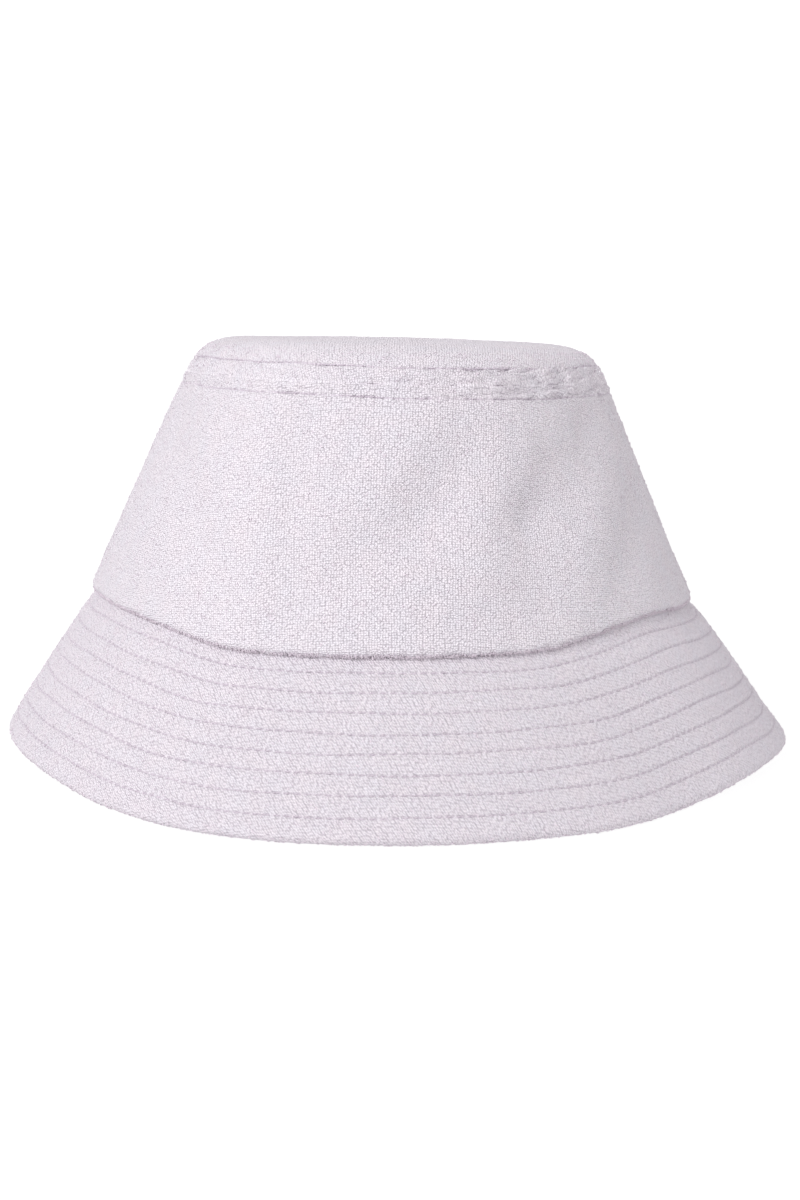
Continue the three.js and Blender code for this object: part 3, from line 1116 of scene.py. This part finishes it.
# %% Tapes and label
tape_cloth = 0.6 * MM
tape_reach = 8 * MM
tape_width = 10 * MM
tape_end = 0.25 * MM
tape_dent = 0.35
tape_depth = cloth + gap + tape_cloth
over_marks = np.arange(tape_reach, 0, -0.6 * MM)
tape_top = tip_curve.beside(over_marks, -tape_depth)
under_marks = np.arange(band_length - 0.6 * MM, band_length - tape_reach, -0.6 * MM)
tape_foot = band_foot - band_out * tape_depth + band_up * under_marks[:, None]
tape_path = Path(joined(tape_top, tape_foot), zero=tape_reach)
tape_rows = [Row(row_drop, tip_half, 61), Row(-upper_row_mark, tip_half, 62)]


def tape_relief(angle, mark):
    """A thin tape: it follows the puckers a little and is dented by both rows."""
    moved = 0.15 * MM * lumps_round(angle, mark, tip_half, 6 * MM, 75)
    for row in tape_rows:
        moved = moved + row.dent(angle, mark)[0] * tape_dent
    return moved, 0 * moved


tape_section = section_of(tape_path, tape_cloth, tape_end, back_every=2, round_steps=3)
sweep("twill_tip_tape", tape_section, angles_between(-almost_round, almost_round, 460),
      tape_relief, unrolled(tip_half), twill_look, ["tip_seam_tape"], strips=4)

side_marks = np.arange(band_length - tape_reach - 0.8 * MM, allowance + 1.0 * MM, -1.0 * MM)
side_path = Path(band_foot - band_out * tape_depth + band_up * side_marks[:, None])
middle_radius = (seam_half + tip_half) / 2
tape_share = tape_width / 2 / (girth * middle_radius)
side_section = section_of(side_path, tape_cloth, tape_end, back_every=2, round_steps=3)
for side, centre in (("left", -0.25), ("right", 0.25)):
    sweep("twill_side_tape_" + side, side_section,
          angles_between(centre - tape_share, centre + tape_share, 16), still,
          unrolled(middle_radius), twill_look, ["side_seam_tape_" + side],
          even_width=middle_radius)

label_low, label_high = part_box("size_label")
label_cloth = 0.9 * MM
label_top, label_foot = [np.interp(end.z, sweat_path.points[::-1, 1], sweat_path.mark[::-1])
                         for end in (label_high, label_low)]
label_marks = np.linspace(label_top, label_foot, 24)
label_bow = 0.5 * MM
label_round = 0.45 * MM
label_path = Path(sweat_path.beside(label_marks, label_cloth + label_round))
label_section = section_of(label_path, label_cloth, label_round, back_every=1)
label_share = (label_high.x - label_low.x) / 2 / (girth * inside_radius)


def label_relief(angle, mark):
    """A woven label bows out a little between its sewn top and its loose foot."""
    along = np.clip(mark / (label_foot - label_top), 0, 1)
    return label_bow * np.sin(math.pi * along) + 0 * angle, 0 * angle * mark


sweep("satin_size_label", label_section,
      angles_between(0.5 - label_share, 0.5 + label_share, 40), label_relief,
      unrolled(inside_radius), satin_look, ["size_label"])

# %% [markdown]
# ## Stitches and loose loops
#
# A row of lockstitch is not a cord lying on the cloth. The thread goes down a needle hole,
# is caught by the thread below and comes up again, so each side shows a line of short stitches
# that dive into the cloth at both ends. Each one is a small tube with five sides. The stray
# loops of the towelling that stand out from seams and edges are small bent tubes too, with
# three sides, so one function makes both: it lays many tubes at once, each bent in a plane of
# its own that stands on the cloth.

# %% Many small tubes at once
end_bulge = 0.7
cell_fill = 0.98


def tubes(name, path, angle, mark, heading, run, rise, thick, corners, look, nodes,
          moved=0.0):
    """Tubes that stand on the cloth. Run and rise give each centreline in its own plane, turned
    by the heading; the ring at each of its points is the radius times cosine of the turn along
    the bend's inner direction, plus sine of the turn across the plane."""
    count, rings = run.shape
    across = np.stack([-np.sin(heading), np.cos(heading), 0 * heading], axis=-1)[:, None, :]
    round_way = run * np.cos(heading)[:, None]
    down_way = run * np.sin(heading)[:, None]
    centre = np.stack([round_way, down_way, rise], axis=-1)
    along = np.gradient(centre, axis=1)
    along = along / np.linalg.norm(along, axis=2, keepdims=True)
    across = np.broadcast_to(across, along.shape)
    inner = np.cross(across, along)
    turn = full_turn * np.arange(corners)[:, None] / corners
    ring = np.cos(turn) * inner[:, :, None, :] + np.sin(turn) * across[:, :, None, :]
    ring = centre[:, :, None, :] + ring * thick[:, :, None, None]
    ends = [centre[:, k] + along[:, k] * thick[:, k, None] * bulge
            for k, bulge in ((0, -end_bulge), (-1, end_bulge))]
    local = np.concatenate([ring.reshape(count, -1, 3), np.stack(ends, axis=1)], axis=1)

    up = local[..., 2] + np.broadcast_to(moved, mark.shape)[:, None]
    radius, height = [point[:, None] + outward[:, None] * up + onward[:, None] * local[..., 1]
                      for point, onward, outward in zip(*path.at(mark))]
    reach = radius * np.hypot(np.cos(angle), oval * np.sin(angle))[:, None]
    solid = place(angle[:, None] + local[..., 0] / reach, radius, height).reshape(-1, 3)

    quads, i, j = grid_faces(rings, corners, rings - 1, corners)
    first = np.arange(count)[:, None, None] * (rings * corners + 2)
    faces = [(part + first).reshape(-1, part.shape[1]) for part in (quads, *fans(rings, corners))]

    ring_step = 1 / (rings + 1)
    low = (i + 1) * ring_step
    high = (i + 2) * ring_step
    side_map = laid_out(j / corners, low, (j + 1) / corners, low,
                        (j + 1) / corners, high, j / corners, high)
    left = np.arange(corners) / corners
    right = left + 1 / corners
    near = np.full(corners, ring_step)
    far = 1 - near
    start_map = laid_out(left, 0 * near, right, near, left, near)
    end_map = laid_out(left, far, right, far, left, far + near)
    cells = math.ceil(math.sqrt(count))
    cell = np.stack([np.arange(count) % cells, np.arange(count) // cells], axis=1)[:, None, :]
    size = np.array([full_turn * thick.mean(), np.ptp(run[0])])
    offset = np.arange(count)[:, None, None] * np.array([0.0, stitch])
    parts = (side_map, start_map, end_map)
    spun = [(part * size + offset).reshape(-1, 2) for part in parts]
    baked = [((part * cell_fill + cell) / cells).reshape(-1, 2) for part in parts]
    maps = {"Cloth": np.concatenate(spun), "OFBake": np.concatenate(baked)}
    piece = new_piece(name, solid, faces, maps, {}, look)
    if nodes:
        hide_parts(*nodes)


# A stitch from end to end: how far along it lies, how high over the dent, and how thick it is.
stitch_run = np.array([-0.47, -0.3, 0.0, 0.3, 0.47]) * stitch
stitch_rise = np.array([-0.42, -0.06, 0.02, -0.06, -0.42]) * MM
stitch_thick = np.array([0.10, 0.17, 0.19, 0.17, 0.10]) * MM


def sew(name, path, row, sink, node):
    """One side of a row: between every two needle holes a stitch that rises from one hole, lies
    in the dent and dives into the next."""
    angle = angle_at((np.arange(row.count) + 0.5) / row.count - 0.5)
    mark = row.mark + wander(angle, row.seed)
    each = np.ones((row.count, 1))
    tubes(name, path, angle, mark, np.zeros(row.count), stitch_run * each,
          (stitch_rise - sink) * each, stitch_thick * each, 5, thread_look, [node])


# %% Sewing the rows
in_towelling = 0.22 * MM
in_twill = 0.12 * MM
for number, row in enumerate(brim_rows, start=1):
    sew(f"thread_brim_row_{number}", top_path, row, in_towelling, f"brim_stitch_row_{number}")
    sew(f"thread_brim_bobbin_{number}", under_path, row, in_towelling, f"brim_bobbin_row_{number}")
sew("thread_tip_row_upper", tip_path, upper_row, in_towelling, "tip_stitch_upper")
sew("thread_tip_row_lower", band_path, lower_row, in_towelling, "tip_stitch_lower")
sew("thread_tip_bobbin_upper", tape_path, tape_rows[1], in_twill, "tip_bobbin_upper")
sew("thread_tip_bobbin_lower", tape_path, tape_rows[0], in_twill, "tip_bobbin_lower")
sew("thread_sweatband_lower", sweat_path, sweat_rows[0], in_twill, "sweatband_stitch_lower")
sew("thread_sweatband_upper", sweat_path, sweat_rows[1], in_twill, "sweatband_stitch_upper")
print("stitches on the brim's upper side:", sum(row.count for row in brim_rows))

# %% Loose loops
pile_look = woven("pile", (243, 232, 241), (222, 209, 221), 0.95, 0.3, [(0.3, 0.4)], 0.04, 0.6)
loop_run = np.array([-0.5, -0.52, 0.0, 0.52, 0.5])
loop_rise = np.array([-0.35, 0.45, 1.0, 0.45, -0.35])
loop_thick = 0.11 * MM


def loose_loops(name, path, relief, count, marks, tall, seed):
    """Loops at random angles and marks, each an arch with its two feet in the cloth."""
    draw = np.random.default_rng(seed)
    angle = angle_at(draw.uniform(-0.5, 0.5, count))
    mark = draw.uniform(marks[0], marks[1], count)
    heading = draw.uniform(0, full_turn, count)
    width = draw.uniform(0.45, 0.8, count)[:, None] * MM
    height = draw.uniform(0.5, 1.0, count)[:, None] * (tall * MM)
    moved, _ = relief(angle, mark)
    tubes(name, path, angle, mark, heading, loop_run * width, loop_rise * height,
          np.full((count, 5), loop_thick), 3, pile_look, [], moved=moved)


edge_mark = top_path.mark[0] - turned_under
brim_relief = relief_of(brim_rows, rough=brim_rough, seed=11)
edge_relief = relief_of([], rough=brim_rough, seed=11)
foot_relief = relief_of([], rough=band_rough, seed=21)
band_relief = relief_of([lower_row], rough=band_rough, seed=21)

# Each crop: name, cloth, how many, from and to which mark, how tall in mm, and the seed.
crops = [
    ("brim", top_path, brim_relief, 3600, (1.5 * MM, edge_mark - 3 * MM), 0.26, 81),
    ("brim_edge", top_path, edge_relief, 2600, (edge_mark - 4.5 * MM, edge_mark), 0.24, 82),
    ("band_foot", band_path, foot_relief, 4200, (lip_mark - 3.6 * MM, lip_mark - 1.6 * MM), 0.62, 83),
    ("band", band_path, band_relief, 4200, (1 * MM, band_length - 1 * MM), 0.24, 84),
    ("tip", tip_path, tip_relief, 1500, (0.5 * MM, 12 * MM), 0.24, 85),
]
for name, *crop in crops:
    loose_loops("loops_" + name, *crop)
print("stray loops:", sum(crop[3] for crop in crops))

# %% [markdown]
# ## Floor, sweep and light
#
# The hat stands on a white floor with a low white wall far round it, both lit by themselves, as
# a studio's paper sweep is lit apart from the object. The world above is darker, so that the
# one large soft light on the left still draws the folds. All of it is plain: the cloth is what
# should be looked at.

# %% Floor and wall
white = (1.0, 1.0, 1.0, 1.0)


def glowing(name, base, glow):
    """A pale matt surface that also gives light of its own."""
    look, shader, _ = new_look(name, 1.0, 0.0, white)
    shader.inputs["Base Color"].default_value = (base, base, base, 1.0)
    shader.inputs["Emission Color"].default_value = white
    shader.inputs["Emission Strength"].default_value = glow
    shader.inputs["Specular IOR Level"].default_value = 0.0
    return look


def stage_piece(name, points, faces, look):
    """A piece of the set, which isn't part of the hat."""
    mesh = bpy.data.meshes.new(name)
    mesh.from_pydata(points, [], faces)
    mesh.materials.append(look)
    put_in_scene(name, mesh)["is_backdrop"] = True


wall_away = 5.0
wall_height = 1.3
wall_sides = 64
floor_look = glowing("floor", 0.12, 0.92)
wall_look = glowing("wall", 0.2, 1.05)
turn = full_turn * np.arange(wall_sides) / wall_sides
rim = np.stack([np.cos(turn) * wall_away, np.sin(turn) * wall_away, 0 * turn], axis=1)
stage_piece("floor", rim.tolist(), [list(range(wall_sides))], floor_look)
upper = rim + np.array([0, 0, wall_height])
wall_faces = [(k, k + wall_sides, (k + 1) % wall_sides + wall_sides, (k + 1) % wall_sides)
              for k in range(wall_sides)]
stage_piece("wall", np.concatenate([rim, upper]).tolist(), wall_faces, wall_look)
print("wall", wall_height, "m high,", wall_away, "m away")

# %% Light and world
world = bpy.data.worlds.new("studio")
bpy.context.scene.world = world
world.use_nodes = True
sky = world.node_tree.nodes["Background"]
sky.inputs["Color"].default_value = white
sky.inputs["Strength"].default_value = 0.82


def soft_light(name, at, aim, size, watts):
    """A large square light at a place, facing another."""
    light = bpy.data.lights.new(name, "AREA")
    light.size = size
    light.energy = watts
    lamp = put_in_scene(name, light)
    lamp.location = at
    away = np.array(at) - np.array(aim)
    tipped = math.acos(away[2] / np.linalg.norm(away))
    turned = math.atan2(away[1], away[0]) + math.pi / 2
    lamp.rotation_euler = (tipped, 0, turned)
    return lamp


key_light = soft_light("key", (-1.2, -1.4, 1.4), (0, 0, 0.06), 0.8, 25.0)
print("light at", [round(value, 2) for value in key_light.location])
bpy.context.scene.view_settings.view_transform = "Standard"
bpy.context.scene.view_settings.look = "None"

# %% [markdown]
# ## The camera
#
# A catalogue view: straight from the front, from a little above the crown, with a lens long
# enough to keep the brim from bulging towards the viewer.

# %% Camera
view_from = (2.1 * MM, -678.9 * MM, 142.7 * MM)
looking_down = 8.11
camera_data = bpy.data.cameras.new("camera")
camera_data.sensor_fit = "VERTICAL"
camera_data.sensor_height = 36.0
camera_data.lens = 63.42
camera = put_in_scene("camera", camera_data)
camera.location = view_from
camera.rotation_euler = (math.radians(90 - looking_down), 0, 0)
bpy.context.scene.camera = camera
print("camera in mm:", [round(value / MM, 1) for value in camera.location])

# %% [markdown]
# ## Checking the size
#
# The cloth must fill the same box as the model that it was built round, so both boxes are
# written out to be compared.

# %% Boxes
soft_low, soft_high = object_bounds()
boxes = {
    "cad": [list(cad_low), list(cad_high)],
    "visual": [list(soft_low), list(soft_high)],
}
for name, (low, high) in boxes.items():
    print(name, "box in mm:", [round(value / MM, 1) for value in low + high])
total = sum(len(o.data.loop_triangles) or len(o.data.loops) - 2 * len(o.data.polygons)
            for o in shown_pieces() if o.type == "MESH")
print("triangles in all:", total)
